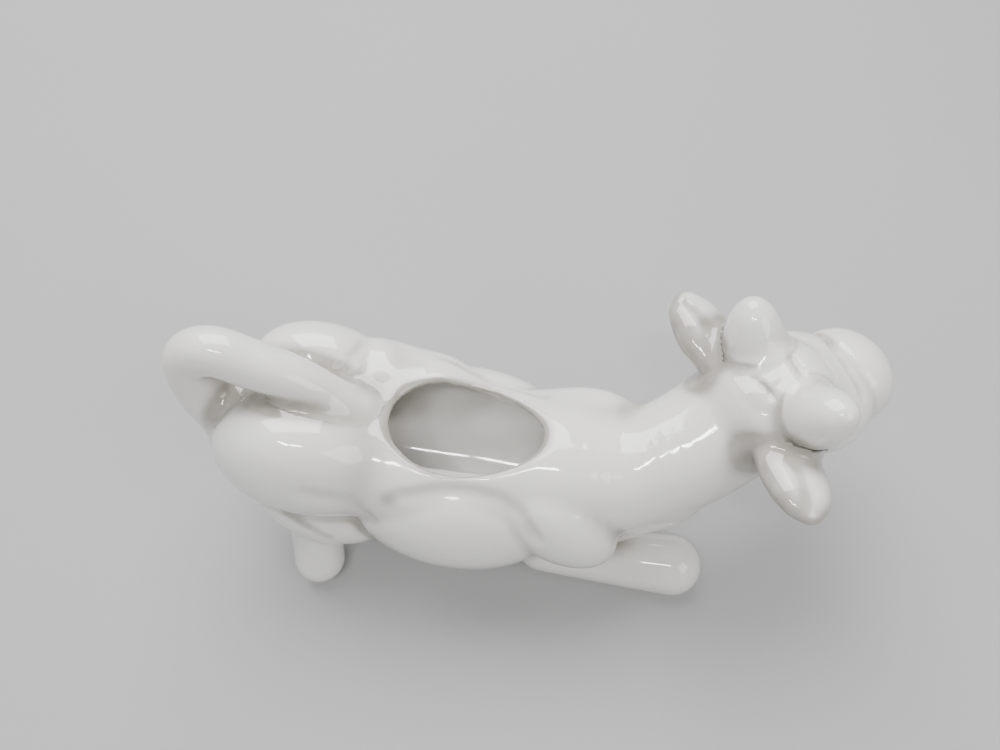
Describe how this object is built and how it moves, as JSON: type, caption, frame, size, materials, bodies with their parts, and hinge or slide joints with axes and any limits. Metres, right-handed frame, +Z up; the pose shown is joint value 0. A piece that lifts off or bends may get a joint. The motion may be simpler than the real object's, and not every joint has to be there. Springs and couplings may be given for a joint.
{
  "type": "cow creamer",
  "caption": "Glazed white porcelain creamer shaped as a cow: filled through its open back, carried by its looped tail and poured from its mouth.",
  "frame": {"origin": "below the middle of the whole cow's outline box, on the table under its hooves", "axes": "+X from the rump towards the head, +Y to the cow's left, which is the side its head turns to, +Z up"},
  "size_m": [0.1866, 0.0831, 0.0833],
  "materials": {
    "porcelain": "gloss"
  },
  "bodies": {
    "root": {"body_shell": "porcelain", "head_shell": "porcelain", "tail_handle": "porcelain", "right_fore_leg": "porcelain", "left_fore_leg": "porcelain", "right_hind_leg": "porcelain", "left_hind_leg": "porcelain", "right_ear": "porcelain", "left_ear": "porcelain", "right_horn": "porcelain", "left_horn": "porcelain"}
  },
  "joints": []
}
